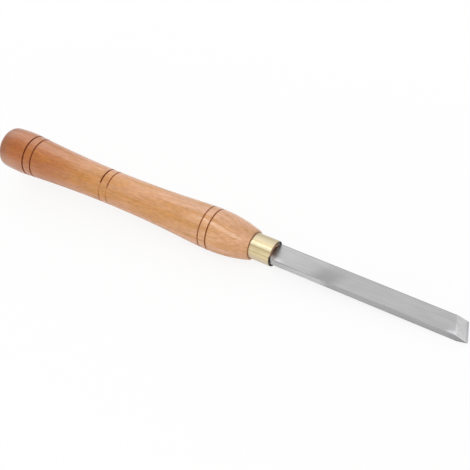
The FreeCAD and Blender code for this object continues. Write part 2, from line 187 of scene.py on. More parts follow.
class ToolPaint(Paint):
    """A material of the tool, which knows each point's place on the tool."""

    def __init__(self, name):
        super().__init__(name)
        metres = self.add("ShaderNodeTexCoord", {}).outputs["Object"]
        self.place = self.vector("DIVIDE", metres, (MM, MM, MM))
        self.along, self.across, self.up = self.parts(self.place)

    def angle(self):
        """The point's angle round the axis."""
        near = self.times(self.across, -1.0)
        return self.sum("DEGREES", self.sum("ARCTAN2", near, self.up))

    def from_axis(self):
        """How far the point is from the axis."""
        return self.diagonal(self.across, self.up)

    def toward(self, angle):
        """How far the point is from the axis, measured toward an angle."""
        lean = math.radians(angle)
        near = self.times(self.across, -math.sin(lean))
        return self.sum("MULTIPLY_ADD", self.up, math.cos(lean), near)

    def leaning(self, angle):
        """1 where the point lies straight toward an angle, and 0 where it lies square to it."""
        return self.sum("DIVIDE", self.toward(angle), self.from_axis())

    def facing(self):
        """How far the surface faces along, across and up, either way."""
        normal = self.add("ShaderNodeNewGeometry", {}).outputs["Normal"]
        return [self.sum("ABSOLUTE", part) for part in self.parts(normal)]


# Beech: its tone along and round the handle

BEECH_BUTT = linear(190, 116, 72)
BEECH_WAIST = linear(229, 171, 134)
BEECH_FRONT = linear(240, 186, 152)
WAIST = -140.0
BUTT_TO_WAIST = (BUTT_END, WAIST)
WAIST_TO_FRONT = (WAIST, SHOULDER - 30)

# A golden band on the near side, amber at the butt and faint at the shoulder
BEECH_AMBER_BUTT = linear(178, 94, 30)
BEECH_GOLDEN = linear(208, 146, 68)
BEECH_GOLDEN_FRONT = linear(222, 164, 84)
GOLDEN_ANGLE = 48
GOLDEN_EDGE = (-250.0, -215.0, 0.76, 0.6)
GOLDEN_TO_WAIST = (-215.0, -170.0, 0.6, 0.38)
GOLDEN_TO_SHOULDER = (-50.0, -20.0, 1.0, 0.13)
AMBER_TO_GOLDEN = (-230.0, -180.0)
GOLDEN_TO_FRONT = (-85.0, -50.0)

BEECH_AMBER = linear(209, 143, 62)
CLOUD_SHIFT = (61.0, 5.0, 23.0)
CLOUD_SIZE = (46.0, 7.0, 11.0)
CLOUD_EDGE = (0.38, 0.64)
CLOUDS_TO_FRONT = (WAIST, -40.0, 0.75, 0.5)

# A brown band along the top, which starts ahead of the waist and is strongest at the shoulder
BEECH_RUDDY = linear(184, 132, 78)
RUDDY_ANGLE = -5
RUDDY_EDGE = (0.8, 1.0)
RUDDY_PAST_WAIST = (-115.0, -90.0, 0.0, 0.25)
RUDDY_TO_SHOULDER = (-42.0, -24.0, 0.0, 0.12)

BEECH_STAIN = linear(172, 92, 32)
STAIN_PLACE = (-269.0, -9.0, 16.5)
STAIN_SIZE = (13.0, 9.0, 8.0)
STAIN_EDGE = (0.3, 1.3, 0.6, 0.0)


def beech_tone(paint, tree):
    """The wood's tone: dark at the butt, with two bands, amber clouds and a stain."""
    along = paint.along
    colour = paint.mix(paint.ease(along, *BUTT_TO_WAIST), BEECH_BUTT, BEECH_WAIST)
    colour = paint.mix(paint.ease(along, *WAIST_TO_FRONT), colour, BEECH_FRONT)

    edge = paint.ease(along, *GOLDEN_EDGE)
    golden = paint.times(paint.ease(paint.leaning(GOLDEN_ANGLE), edge, 1.0),
                         paint.ease(along, *GOLDEN_TO_WAIST),
                         paint.ease(along, *GOLDEN_TO_SHOULDER))
    tone = paint.mix(paint.ease(along, *AMBER_TO_GOLDEN), BEECH_AMBER_BUTT, BEECH_GOLDEN)
    tone = paint.mix(paint.ease(along, *GOLDEN_TO_FRONT), tone, BEECH_GOLDEN_FRONT)
    colour = paint.mix(golden, colour, tone)

    clouds = paint.noise(paint.vector("ADD", tree, CLOUD_SHIFT), CLOUD_SIZE,
                         detail=4.0, roughness=0.6)
    cloudy = paint.times(paint.ease(clouds, *CLOUD_EDGE), paint.ease(along, *CLOUDS_TO_FRONT))
    amber = paint.mix(paint.ease(along, *BUTT_TO_WAIST), BEECH_AMBER_BUTT, BEECH_AMBER)
    colour = paint.mix(cloudy, colour, amber)

    strength = paint.sum("ADD", paint.ease(along, *RUDDY_PAST_WAIST),
                         paint.ease(along, *RUDDY_TO_SHOULDER))
    ruddy = paint.times(paint.ease(paint.leaning(RUDDY_ANGLE), *RUDDY_EDGE), strength)
    colour = paint.mix(ruddy, colour, BEECH_RUDDY)

    away = paint.vector("DIVIDE", paint.vector("SUBTRACT", paint.place, STAIN_PLACE), STAIN_SIZE)
    return paint.mix(paint.ease(paint.length(away), *STAIN_EDGE), colour, BEECH_STAIN)


# Beech: its growth rings, ray flecks and fibres

# The tree's pith lies outside the handle: how far across and up from the axis
PITH = (-70.0, 105.0)
WANDER_SIZE = (140.0, 45.0, 45.0)
WANDER_DEPTH = 14.0
FIBRE_TILT = 0.012
RING_WIDTH = 2.6
LATE_WOOD_POWER = 3.0
LATE_WOOD_END = (0.93, 1.0, 1.0, 0.0)
LATE_WOOD_SHARE = 0.3
BEECH_FLECK = linear(150, 84, 34)
FLECK_SIZE = (9.0, 7.0, 1.3)
FLECK_EDGE = (0.1, 0.4, 1.0, 0.0)
FLECK_STRENGTH = (0.3, 0.9)
FLECK_SHARE = 0.4
FIBRE_SIZE = (28.0, 0.7, 0.7)
FIBRE_SHADE = (0.25, 0.75, 0.88, 1.1)
DASH_SIZE = (5.0, 1.3, 1.3)
DASH_SHADE = (0.35, 0.65, 0.92, 1.08)


def tree_place(paint):
    """The place as the tree grew it, along, out from the pith and round it, and how far out."""
    wander = paint.noise(paint.place, WANDER_SIZE, detail=1.0)
    side = paint.sum("SUBTRACT", paint.across, PITH[0])
    rise = paint.sum("SUBTRACT", paint.up, PITH[1])
    out = paint.sum("MULTIPLY_ADD", wander, WANDER_DEPTH, paint.diagonal(side, rise))
    out = paint.sum("MULTIPLY_ADD", paint.along, FIBRE_TILT, out)
    turn = paint.times(paint.sum("ARCTAN2", rise, side), math.hypot(*PITH))
    return paint.join(paint.along, out, turn), out


def late_wood(paint, out):
    """The dark end of each growth ring."""
    ring = paint.sum("FRACT", paint.sum("DIVIDE", out, RING_WIDTH))
    return paint.times(paint.sum("POWER", ring, LATE_WOOD_POWER),
                       paint.ease(ring, *LATE_WOOD_END))


def ray_flecks(paint, tree):
    """Short flecks where the rays come to the surface, some strong and some faint."""
    cells = paint.cells(tree, FLECK_SIZE)
    kind = paint.add("ShaderNodeSeparateColor", {0: cells["Color"]}).outputs[0]
    return paint.times(paint.ease(cells["Distance"], *FLECK_EDGE),
                       paint.ease(kind, *FLECK_STRENGTH))


def beech_figure(paint, colour, tree, late, flecks, fibres):
    """Adds rings, flecks, fibres and short dashes to the wood's tone."""
    colour = paint.mix(paint.times(late, LATE_WOOD_SHARE), colour, BEECH_AMBER)
    colour = paint.mix(paint.times(flecks, FLECK_SHARE), colour, BEECH_FLECK)
    colour = paint.shade(colour, paint.ease(fibres, *FIBRE_SHADE))
    dashes = paint.noise(tree, DASH_SIZE)
    return paint.shade(colour, paint.ease(dashes, *DASH_SHADE))


# Beech: the butt

BEECH_END = linear(140, 94, 68)
BUTT_STAIN = (BUTT_END, BUTT_END + 20, 0.75, 0.0)

# A painted reflection of the floor: a pale band low on the near side, which fades toward the waist
# and over the end's corner
BEECH_PAINTED_REFLECTION = linear(216, 166, 142)
WOOD_REFLECTION_ANGLE = 94
WOOD_REFLECTION_EDGE = (0.82, 1.0)
WOOD_REFLECTION_TO_WAIST = (-275.0, -225.0, 0.42, 0.0)
WOOD_REFLECTION_RADII = (13.0, 17.4)

END_FACING = (0.4, 0.8)
END_DEPTH = (BUTT_END, BUTT_END + 12, 1.0, 0.0)
END_RAY_SIZE = (20.0, 8.0, 0.9)
END_RAY_SHADE = (0.35, 0.65, -0.06, 0.1)
END_RING_SHADE = -0.3


def beech_butt(paint, colour, tree, late):
    """The butt drinks more finish, and a pale band low on its near side is a painted reflection of
    the floor. Its end shows rings and rays as end grain does.
    """
    colour = paint.mix(paint.ease(paint.along, *BUTT_STAIN), colour, BEECH_END)
    pale = paint.times(paint.ease(paint.leaning(WOOD_REFLECTION_ANGLE), *WOOD_REFLECTION_EDGE),
                       paint.ease(paint.along, *WOOD_REFLECTION_TO_WAIST),
                       paint.ease(paint.from_axis(), *WOOD_REFLECTION_RADII))
    colour = paint.mix(pale, colour, BEECH_PAINTED_REFLECTION)
    end_grain = paint.times(paint.ease(paint.facing()[0], *END_FACING),
                            paint.ease(paint.along, *END_DEPTH))
    rays = paint.noise(tree, END_RAY_SIZE)
    level = paint.sum("MULTIPLY_ADD", late, END_RING_SHADE, paint.ease(rays, *END_RAY_SHADE))
    return paint.shade(colour, paint.sum("MULTIPLY_ADD", level, end_grain, 1.0))


# Beech: the tenon's end in the ferrule's mouth, and the joint at the ferrule's back, both with
# painted shade

# End grain, painted darker still for the shade inside the mouth
BEECH_MOUTH_GRAIN_AND_SHADE = linear(180, 130, 94)
TENON_END = (-2.0, -1.5)
TENON_FACING = (0.8, 0.9)
# Painted shade at the rim of the tenon's end, by the ferrule's wall and away from the lit angle
MOUTH_RIM_SHADE = linear(40, 24, 18)
RIM_SHADE_RADII = (7.2, 9.2)
RIM_SHADE_LIT_SIDE = (6.5, 8.5, 1.0, 0.1)
# Painted shade in the step where the wood's shoulder meets the ferrule's back
BEECH_JOINT_SHADE = linear(160, 88, 54)
JOINT_RADII = (TUBE_RADIUS + 0.4, TUBE_RADIUS + 1.2, 0.8, 0.0)
JOINT_START = (SHOULDER - 1.2, SHOULDER - 0.2)
JOINT_END = (SHOULDER + 0.5, SHOULDER + 1.0, 1.0, 0.0)


def beech_at_ferrule(paint, colour):
    """The tenon's end, darker as end grain and with painted shade, darker still at its rim away
    from the lit angle, and painted shade in the step round the shoulder.
    """
    from_axis = paint.from_axis()
    at_mouth = paint.times(paint.ease(paint.along, *TENON_END),
                           paint.ease(paint.facing()[0], *TENON_FACING))
    colour = paint.mix(at_mouth, colour, BEECH_MOUTH_GRAIN_AND_SHADE)
    rim_shade = paint.times(at_mouth, paint.ease(from_axis, *RIM_SHADE_RADII),
                       paint.ease(paint.toward(MOUTH_LIT_ANGLE), *RIM_SHADE_LIT_SIDE))
    colour = paint.mix(rim_shade, colour, MOUTH_RIM_SHADE)
    joint_shade = paint.times(paint.ease(from_axis, *JOINT_RADII),
                        paint.ease(paint.along, *JOINT_START),
                        paint.ease(paint.along, *JOINT_END))
    return paint.mix(joint_shade, colour, BEECH_JOINT_SHADE)


# Beech: the burned lines

# The place of each line, and how dark it is. Two of them hardly took on part of the near side, and
# these have the angle where they fade, and how dark they are again past it.
BURNED_LINES = (
    (-254.95, 0.95, None),
    (-246.65, 0.76, None),
    (-170.65, 0.85, (38, 0.25)),
    (-162.95, 0.38, (46, 0.4)),
    (-64.6, 0.36, None),
    (-57.0, 0.42, None),
)
BURN_EDGE = (0.48, 0.96)
FADE_HALF_ANGLE = 5
FADED_DARKNESS = 0.08
RETURN_PAST_FADE = (30, 45)
UNEVEN_SIZE = (0.8, 2.5, 2.5)
UNEVEN_DARKNESS = (0.3, 0.7, 0.75, 1.0)
SCORCH = linear(110, 42, 12)
SCORCH_EDGE = linear(158, 92, 48)
SCORCHED = (0.3, 0.9)
EDGE_SCORCHED = (0.0, 0.4)


def burned_share(paint):
    """How burned the wood is at a point."""
    angle = paint.angle()
    share = 0.0
    for station, darkness, fade in BURNED_LINES:
        line = paint.ease(paint.off(paint.along, station), *BURN_EDGE, darkness, 0.0)
        if fade:
            middle, darkness_again = fade
            before = paint.ease(angle, middle - FADE_HALF_ANGLE, middle + FADE_HALF_ANGLE,
                                1.0, FADED_DARKNESS)
            start, end = RETURN_PAST_FADE
            again = paint.ease(angle, middle + start, middle + end, 0.0, darkness_again)
            line = paint.times(line, paint.sum("MAXIMUM", before, again))
        share = paint.sum("MAXIMUM", share, line)
    return paint.times(share, paint.ease(paint.noise(paint.place, UNEVEN_SIZE), *UNEVEN_DARKNESS))


# Beech: the finish

FLECK_RELIEF = -0.5
RIPPLE_SIZE = (7.0, 2.2, 2.2)
BEECH_ROUGHNESS = (0.2, 0.8, 0.42, 0.55)
LACQUER_TO_BURN = (0.1, 0.6, 0.9, 0.05)
LACQUER_ROUGHNESS = 0.13


def beech():
    """Turned beech under lacquer that ripples a little and is burned away in the lines."""
    paint = ToolPaint("beech")
    tree, out = tree_place(paint)
    late = late_wood(paint, out)
    flecks = ray_flecks(paint, tree)
    fibres = paint.noise(tree, FIBRE_SIZE, detail=4.0, roughness=0.6)

    colour = beech_tone(paint, tree)
    colour = beech_figure(paint, colour, tree, late, flecks, fibres)
    colour = beech_butt(paint, colour, tree, late)
    colour = beech_at_ferrule(paint, colour)
    burned = burned_share(paint)
    colour = paint.mix(paint.ease(burned, *EDGE_SCORCHED), colour, SCORCH_EDGE)
    colour = paint.mix(paint.ease(burned, *SCORCHED), colour, SCORCH)

    relief = paint.sum("MULTIPLY_ADD", flecks, FLECK_RELIEF, fibres)
    ripples = paint.noise(tree, RIPPLE_SIZE)
    return paint.finish(Base_Color=colour, Roughness=paint.ease(fibres, *BEECH_ROUGHNESS),
                        Specular_IOR_Level=0.1, Coat_Weight=paint.ease(burned, *LACQUER_TO_BURN),
                        Coat_Roughness=LACQUER_ROUGHNESS,
                        Normal=paint.bump(relief, depth=0.02, strength=0.5),
                        Coat_Normal=paint.bump(ripples, depth=0.1, strength=0.8))


# Brass: the outside of the tube

BRASS = linear(228, 215, 184)
BRASS_BANDS = linear(204, 186, 144)
BAND_SIZE = (90.0, 0.9, 1.0)
BAND_EDGE = (0.4, 0.6)
# Painted reflection: a brighter strip about this angle
BRASS_PAINTED_SHEEN = linear(246, 227, 182)
SHEEN_ANGLE = 64
SHEEN_EDGE = (8.0, 34.0, 0.55, 0.0)
# For the random dull places, and the colour of the painted dark reflection lines
BRASS_DULL_AND_DARK_REFLECTION = linear(190, 168, 118)
DULL_SIZE = (9.0, 6.0, 6.0)
DULL_EDGE = (0.5, 0.8, 0.0, 0.3)
# Painted reflection: the far side of the tube darker
BRASS_FAR_SIDE_SHADE = linear(202, 190, 160)
FAR_SIDE_SHADE_EDGE = (-2.5, 0.5, 0.0, 0.9)
# Painted reflection of the floor: the underside paler
BRASS_FLOOR_REFLECTION = linear(236, 226, 205)
UNDERSIDE_REFLECTION_EDGE = (76.0, 106.0, 0.0, 0.8)
# Painted highlight: the strip where the lamp's highlight falls is painted darker, which sets the
# highlight's brightness and colour
BRASS_HIGHLIGHT_TINT = linear(187, 177, 150)
HIGHLIGHT_ANGLE = 31
HIGHLIGHT_EDGE = (4.0, 12.0, 0.85, 0.0)

# Painted reflections: dark lines along the tube, each with its angle, the half width in degrees,
# and how dark
DARK_REFLECTION_LINES = (
    (-96, 3.0, 0.5),
    (-21, 3.5, 0.6),
    (7, 2.0, 0.3),
    (19, 1.8, 0.4),
    (42, 3.2, 0.9),
    (66, 2.8, 0.6),
    (131, 4.0, 0.6),
)


def brass_tone(paint, skin, angle):
    """Bands and dull places, with painted reflections: a bright strip, a pale underside, a darker
    far side, dark lines along the tube, and a darker tint where the highlight falls.
    """
    bands = paint.noise(skin, BAND_SIZE, detail=3.0)
    colour = paint.mix(paint.ease(bands, *BAND_EDGE), BRASS, BRASS_BANDS)
    sheen = paint.ease(paint.off(angle, SHEEN_ANGLE), *SHEEN_EDGE)
    colour = paint.mix(sheen, colour, BRASS_PAINTED_SHEEN)
    dull = paint.noise(paint.place, DULL_SIZE, detail=3.0)
    colour = paint.mix(paint.ease(dull, *DULL_EDGE), colour, BRASS_DULL_AND_DARK_REFLECTION)
    colour = paint.mix(paint.ease(paint.across, *FAR_SIDE_SHADE_EDGE), colour, BRASS_FAR_SIDE_SHADE)
    for middle, half_width, dimming in DARK_REFLECTION_LINES:
        line = paint.ease(paint.off(angle, middle), 0.0, half_width * 2, dimming, 0.0)
        colour = paint.mix(line, colour, BRASS_DULL_AND_DARK_REFLECTION)
    colour = paint.mix(paint.ease(angle, *UNDERSIDE_REFLECTION_EDGE), colour, BRASS_FLOOR_REFLECTION)
    painted_light = paint.ease(paint.off(angle, HIGHLIGHT_ANGLE), *HIGHLIGHT_EDGE)
    return paint.mix(painted_light, colour, BRASS_HIGHLIGHT_TINT)


# Brass: the ferrule's mouth

# Painted shade on the sawn end and in the bore, lighter about the lit angle
BRASS_MOUTH_SHADE = linear(30, 24, 18)
BRASS_MOUTH_LIT = linear(136, 106, 60)
MOUTH_LIT_SIDE = (7.5, 9.5)

# Painted shade: the end's dark colour reaches out to the rim, and less far on the lit side
END_FADES_FROM = TUBE_RADIUS - 0.6
END_REACH = (5.0, 8.0, TUBE_RADIUS - 0.05, TUBE_RADIUS - 0.3)

# Painted shade: a dark line on the outside of the rim, low on the near side
RIM_SHADOW_ALONG = (-0.8, -0.5)
RIM_SHADOW_START = (50.0, 66.0)
RIM_SHADOW_END = (125.0, 140.0, 0.85, 0.0)


def brass_mouth(paint, colour, angle):
    """Adds painted shade: a dark line on the rim's outside, and the dark sawn end and bore,
    painted lit about one angle.
    """
    rim_shadow = paint.times(paint.ease(paint.along, *RIM_SHADOW_ALONG),
                         paint.ease(angle, *RIM_SHADOW_START), paint.ease(angle, *RIM_SHADOW_END))
    colour = paint.mix(rim_shadow, colour, BRASS_MOUTH_SHADE)
    toward = paint.toward(MOUTH_LIT_ANGLE)
    reach = paint.ease(toward, *END_REACH)
    inside = paint.ease(paint.from_axis(), END_FADES_FROM, reach, 1.0, 0.0)
    end_colour = paint.mix(paint.ease(toward, *MOUTH_LIT_SIDE), BRASS_MOUTH_SHADE, BRASS_MOUTH_LIT)
    return paint.mix(inside, colour, end_colour)


# Brass: the finish

DRAWN_LINE_SIZE = (60.0, 0.35, 1.0)
BRASS_ROUGHNESS = (0.3, 0.7, 0.32, 0.44)


def brass():
    """Drawn tube: fine lines along its polished outside, painted reflections, and a sawn mouth in
    painted shade.
    """
    paint = ToolPaint("brass")
    angle = paint.angle()
    round_tube = paint.times(paint.sum("ARCTAN2", paint.across, paint.up), TUBE_RADIUS)
    skin = paint.join(paint.along, round_tube)
    colour = brass_tone(paint, skin, angle)
    colour = brass_mouth(paint, colour, angle)
    lines = paint.noise(skin, DRAWN_LINE_SIZE, detail=3.0)
    return paint.finish(Base_Color=colour, Metallic=1.0,
                        Roughness=paint.ease(lines, *BRASS_ROUGHNESS),
                        Normal=paint.bump(lines, depth=0.02, strength=0.5))


# Steel: the bar's faces and arrises

STEEL = linear(180, 180, 181)
STEEL_DULL = linear(170, 170, 171)
BLOTCH_SIZE = (22.0, 9.0, 9.0)
BLOTCH_EDGE = (0.35, 0.7, 0.0, 0.5)
STREAK_SIZE = (34.0, 1.6, 1.6)
STREAK_SHADE = (0.3, 0.7, 0.95, 1.05)

# Painted reflection: a dark band lies across the wide faces, a little aslant and strongest toward
# the near edge
STEEL_DARK_REFLECTION = linear(150, 150, 151)
DARK_BAND_MIDDLE = 52.0
DARK_BAND_SLANT = 0.5
DARK_BAND_EDGE = (3.0, 17.0, 1.0, 0.0)
DARK_BAND_ACROSS = (-6.0, 9.5, 0.9, 0.3)

# Painted shade: a dark line along the far edge of the top, and dark arrises and point
STEEL_EDGE_SHADE = linear(146, 146, 147)
FAR_EDGE = (8.4, 9.0, 0.0, 0.85)
# Painted reflection: the sides lighter near the ferrule than toward the tip
STEEL_SIDE_SHEEN = linear(210, 210, 211)
NARROW_FACING = (0.85, 0.95)
SIDE_TO_TIP = (44.0, 54.0, 1.0, 0.22)
SIDE_FROM_FERRULE = (0.0, 25.0, 0.5, 1.0)
POINT_SHADE = (TIP - 20, TIP - 6, 0.0, 0.45)
ARRIS_FACING = (0.5, 0.6)
# Painted highlight: the arrises lighten away from the ferrule
ARRIS_LIGHTENS = (8.0, 26.0, 0.0, 0.25)
# The colour of painted glints and highlights, and of the scratches
STEEL_GLINT_AND_SCRATCH = linear(232, 232, 234)


def steel_bar(paint, across_face, up_face, narrow_face):
    """Ground steel with blotches and streaks, and painted light: a dark reflected band, lighter
    sides, and dark arrises, far edge and point.
    """
    blotches = paint.noise(paint.place, BLOTCH_SIZE)
    colour = paint.mix(paint.ease(blotches, *BLOTCH_EDGE), STEEL, STEEL_DULL)
    streaks = paint.noise(paint.place, STREAK_SIZE)
    colour = paint.shade(colour, paint.ease(streaks, *STREAK_SHADE))

    middle = paint.sum("MULTIPLY_ADD", paint.across, DARK_BAND_SLANT, DARK_BAND_MIDDLE)
    dark_band = paint.times(paint.ease(paint.off(paint.along, middle), *DARK_BAND_EDGE),
                        paint.ease(paint.across, *DARK_BAND_ACROSS), up_face)
    colour = paint.mix(dark_band, colour, STEEL_DARK_REFLECTION)
    # Painted shade along the far edge
    far_edge = paint.times(paint.ease(paint.across, *FAR_EDGE), up_face)
    colour = paint.mix(far_edge, colour, STEEL_EDGE_SHADE)

    # Painted reflection on the sides, and painted shade at the point and on the arrises
    side = paint.times(narrow_face, paint.ease(paint.along, *SIDE_TO_TIP),
                       paint.ease(paint.along, *SIDE_FROM_FERRULE))
    colour = paint.mix(side, colour, STEEL_SIDE_SHEEN)
    point = paint.times(narrow_face, paint.ease(paint.along, *POINT_SHADE))
    colour = paint.mix(point, colour, STEEL_EDGE_SHADE)
    arris = paint.times(paint.ease(across_face, *ARRIS_FACING),
                        paint.ease(up_face, *ARRIS_FACING))
    painted_light = paint.mix(paint.ease(paint.along, *ARRIS_LIGHTENS), STEEL_EDGE_SHADE, STEEL_GLINT_AND_SCRATCH)
    return paint.mix(arris, colour, painted_light)


# Steel: the bevels, whose places are taken from the cutting edge

SKEW = math.radians(20.3)
BEVEL_RUN = 9.1
HONED_RUN = 1.4
HONED_EDGE = (HONED_RUN - 0.1, HONED_RUN + 0.1, 1.0, 0.0)
STEEL_BEVEL = linear(203, 203, 204)
STEEL_BEVEL_SPOT = linear(194, 194, 195)
STEEL_HONED = linear(178, 178, 180)
SPOT_SIZE = (3.2, 2.6, 2.6)
SPOT_EDGE = (0.35, 0.65)
BEVEL_FACING = (0.15, 0.22)

# Painted highlights: bright lines at the bevel's rear and at its near edge
REAR_LINE_EDGE = (0.2, 0.6, 1.0, 0.0)
REAR_LINE_ACROSS = (-8.0, 3.0, 0.9, 0.1)
NEAR_LINE_ACROSS = (-9.2, -8.6, 0.7, 0.0)

# Scratches across the bar behind the bevel, and a bright wedge along the near edge there
SCRATCH_SIZE = (0.5, 14.0, 14.0)
SCRATCH_EDGE = (0.4, 0.7, 0.0, 0.45)
SCRATCHES_BEHIND = (BEVEL_RUN, BEVEL_RUN + 7.0, 1.0, 0.0)
SCRATCHES_ACROSS = (-8.0, 2.0, 1.0, 0.0)
WEDGE_WIDTH = (BEVEL_RUN - 1.0, BEVEL_RUN + 1.0, 0.0, 3.4)
WEDGE_NARROWS = (BEVEL_RUN, BEVEL_RUN + 14.0, 1.0, 0.0)
WEDGE_EDGE = (-1.2, 1.2, 0.0, 0.5)
WEDGE_FADES = (BEVEL_RUN + 4.0, BEVEL_RUN + 11.0, 1.0, 0.0)


def from_near_side(paint):
    """How far across the blade a point is from its near side."""
    return paint.sum("ADD", paint.across, BLADE_HALF_WIDTH)


def edge_place(paint):
    """How far a point is behind the cutting edge, and its place by that edge."""
    from_tip = paint.sum("SUBTRACT", TIP, paint.along)
    behind = paint.sum("SUBTRACT", paint.times(from_tip, math.cos(SKEW)),
                       paint.times(from_near_side(paint), math.sin(SKEW)))
    beside = paint.sum("MULTIPLY_ADD", paint.across, math.cos(SKEW),
                       paint.times(paint.along, -math.sin(SKEW)))
    return behind, paint.join(behind, beside, paint.up)


def steel_bevel(paint, colour, behind, place, bevel, wide_face):
    """The spotted bevels with their honed strips, and painted highlights as bright lines."""
    spots = paint.noise(place, SPOT_SIZE)
    tone = paint.mix(paint.ease(spots, *SPOT_EDGE), STEEL_BEVEL, STEEL_BEVEL_SPOT)
    tone = paint.mix(paint.ease(behind, *HONED_EDGE), tone, STEEL_HONED)
    colour = paint.mix(paint.times(bevel, wide_face), colour, tone)
    rear_line = paint.times(paint.ease(paint.off(behind, BEVEL_RUN), *REAR_LINE_EDGE),
                            paint.ease(paint.across, *REAR_LINE_ACROSS))
    near_line = paint.times(bevel, paint.ease(paint.across, *NEAR_LINE_ACROSS))
    bright = paint.times(paint.sum("MAXIMUM", rear_line, near_line), wide_face)
    return paint.mix(bright, colour, STEEL_GLINT_AND_SCRATCH)


def steel_behind_bevel(paint, colour, behind, place, wide_face):
    """The scratches and the bright wedge behind the bevel."""
    scratches = paint.noise(place, SCRATCH_SIZE)
    scratched = paint.times(paint.ease(behind, *SCRATCHES_BEHIND),
                            paint.ease(paint.across, *SCRATCHES_ACROSS),
                            paint.ease(scratches, *SCRATCH_EDGE), wide_face)
    colour = paint.mix(scratched, colour, STEEL_GLINT_AND_SCRATCH)
    width = paint.times(paint.ease(behind, *WEDGE_WIDTH), paint.ease(behind, *WEDGE_NARROWS))
    inside = paint.sum("SUBTRACT", width, from_near_side(paint))
    wedge = paint.times(paint.ease(inside, *WEDGE_EDGE), paint.ease(behind, *WEDGE_FADES),
                        wide_face)
    return paint.mix(wedge, colour, STEEL_GLINT_AND_SCRATCH)


# Steel: a painted highlight on the shoulder's near corner

CORNER_ALONG = (1.0, 3.0, 0.9, 0.0)
CORNER_FACE_ALONG = (3.0, 14.0, 0.7, 0.0)
CORNER_ACROSS = (-7.5, -4.0, 1.0, 0.0)


def steel_corner(paint, colour, wide_face):
    """A painted highlight on the corner, and on the wide face beside it."""
    beside = paint.times(wide_face, paint.ease(paint.along, *CORNER_FACE_ALONG))
    corner = paint.sum("MAXIMUM", paint.ease(paint.along, *CORNER_ALONG), beside)
    corner = paint.times(corner, paint.ease(paint.across, *CORNER_ACROSS))
    return paint.mix(corner, colour, STEEL_GLINT_AND_SCRATCH)


# Steel: the finish

WIDE_FACING = (0.75, 0.85)
GROUND_LINE_SIZE = (30.0, 0.25, 0.25)
GROUND_LINE_SHADE = (0.3, 0.7, 0.96, 1.03)
STEEL_ROUGHNESS = (0.3, 0.7, 0.32, 0.42)

# The sides and the near corner are frosted beside the shoulder, and don't mirror the dark mouth
FROSTED_ACROSS = (-6.5, -3.0, 0.9, 0.0)
FROSTED_ALONG = (0.8, 2.6, 1.0, 0.0)
METALLIC_TO_FROSTED = (0.0, 1.0, 1.0, 0.2)


def steel():
    """Ground bar: fine lines along it, a painted dark reflection across it, and brighter bevels.
    """
    paint = ToolPaint("ground_steel")
    along_face, across_face, up_face = paint.facing()
    narrow_face = paint.ease(across_face, *NARROW_FACING)
    wide_face = paint.ease(up_face, *WIDE_FACING)
    bevel = paint.ease(along_face, *BEVEL_FACING)

    colour = steel_bar(paint, across_face, up_face, narrow_face)
    behind, place = edge_place(paint)
    colour = steel_bevel(paint, colour, behind, place, bevel, wide_face)
    colour = steel_behind_bevel(paint, colour, behind, place, wide_face)
    colour = steel_corner(paint, colour, wide_face)
    lines = paint.noise(paint.place, GROUND_LINE_SIZE, detail=4.0, roughness=0.6)
    colour = paint.shade(colour, paint.ease(lines, *GROUND_LINE_SHADE))

    near_corner = paint.ease(paint.across, *FROSTED_ACROSS)
    frosted = paint.times(paint.sum("MAXIMUM", narrow_face, near_corner),
                          paint.ease(paint.along, *FROSTED_ALONG))
    return paint.finish(Base_Color=colour, Metallic=paint.ease(frosted, *METALLIC_TO_FROSTED),
                        Roughness=paint.ease(lines, *STEEL_ROUGHNESS),
                        Normal=paint.bump(lines, depth=0.01, strength=0.4))


# Adhesive

ADHESIVE_DARK = linear(72, 22, 12)
ADHESIVE_LIGHT = linear(104, 40, 22)
# Painted light: a light wood brown above and below the tang, where the adhesive lies in shade
ADHESIVE_PAINTED_LIGHT = linear(212, 160, 122)
MOTTLE_SIZE = (1.2, 1.2, 1.2)
BUBBLE_SIZE = (0.7, 0.7, 0.7)
PAINTED_LIGHT_HEIGHT = (3.3, 4.0)
ADHESIVE_ROUGHNESS = (0.2, 0.8, 0.45, 0.65)


def adhesive():
    """Cured adhesive, dark and dull, with bubbles, and painted a light brown above and below the
    tang against the shade of its recess.
    """
    paint = ToolPaint("cured_adhesive")
    mottle = paint.noise(paint.place, MOTTLE_SIZE, detail=3.0)
    colour = paint.mix(mottle, ADHESIVE_DARK, ADHESIVE_LIGHT)
    painted_lighter = paint.ease(paint.sum("ABSOLUTE", paint.up), *PAINTED_LIGHT_HEIGHT)
    colour = paint.mix(painted_lighter, colour, ADHESIVE_PAINTED_LIGHT)
    bubbles = paint.cells(paint.place, BUBBLE_SIZE)["Distance"]
    return paint.finish(Base_Color=colour, Roughness=paint.ease(mottle, *ADHESIVE_ROUGHNESS),
                        Normal=paint.bump(bubbles, depth=0.1, strength=0.5))


for name, material in (("handle", beech()), ("ferrule", brass()), ("blade", steel()),
                       ("tang_adhesive", adhesive())):
    nodes[name].data.materials.clear()
    nodes[name].data.materials.append(material)


# Camera: where the photograph was taken from

CAMERA_PLACE = (0.3041, -0.4678, 0.6057)
CAMERA_TURN = (43.755, 3.93, 32.149)
CAMERA_LENS = 77.49
CAMERA_NEAR = 0.01


def place_camera():
    """Makes the scene's camera."""
    data = bpy.data.cameras.new("camera")
    data.lens = CAMERA_LENS
    data.clip_start = CAMERA_NEAR
    camera = bpy.data.objects.new("camera", data)
    camera.location = CAMERA_PLACE
    camera.rotation_euler = [math.radians(turn) for turn in CAMERA_TURN]
    bpy.context.scene.collection.objects.link(camera)
    bpy.context.scene.camera = camera


# Light

WORLD_LEVEL = 0.68
CAMERA_SIDE_LEVEL = 0.68
CAMERA_SIDE_DEPTH = (-0.5, -0.05, 1.0, 0.0)
CAMERA_SIDE_HEIGHT = (0.2, 0.5)

